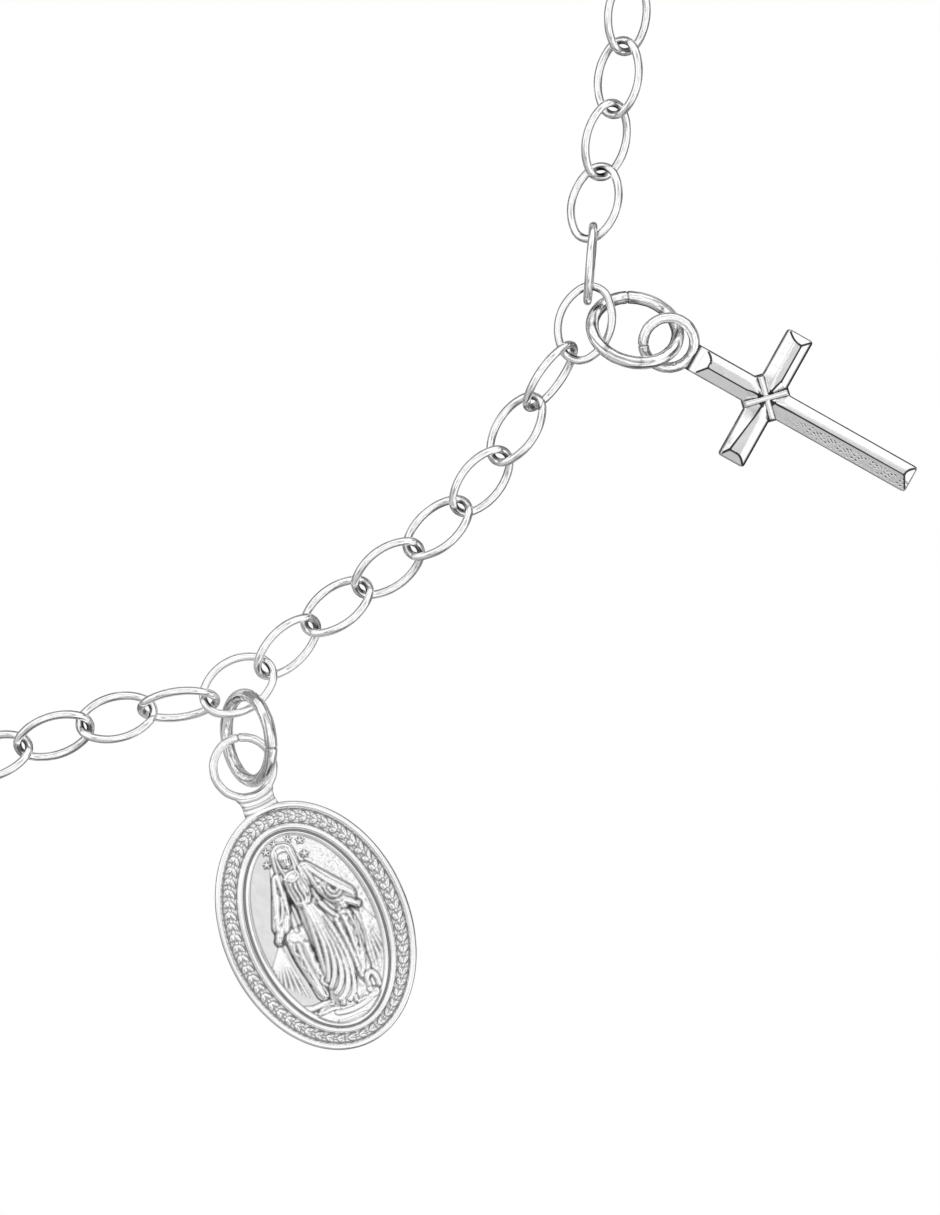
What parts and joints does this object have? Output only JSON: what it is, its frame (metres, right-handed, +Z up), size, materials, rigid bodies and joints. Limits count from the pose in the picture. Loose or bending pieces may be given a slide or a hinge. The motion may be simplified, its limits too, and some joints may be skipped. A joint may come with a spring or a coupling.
{
  "type": "chain bracelet with two charms",
  "caption": "Loose oval cable-chain bracelet lying in a loop, with an oval medal and a small cross hung on jump rings and a round clasp.",
  "frame": {"origin": "middle of the loop that the chain makes, on the surface it lies on", "axes": "+Z straight up from the surface; +Y points away from the viewer of the charm side and +X to the right, so both charms lie on the -Y and +X side"},
  "size_m": [0.074, 0.0748, 0.0043],
  "materials": {
    "chain_silver": "polished",
    "ring_silver": "polished",
    "charm_silver": "polished, with a fine satin grain in the medal's field"
  },
  "bodies": {
    "root": {"chain": "chain_silver", "medal_jump_ring": "ring_silver", "medal": "charm_silver", "cross_jump_ring": "ring_silver", "cross": "charm_silver", "clasp": "ring_silver", "end_ring": "ring_silver"}
  },
  "joints": []
}
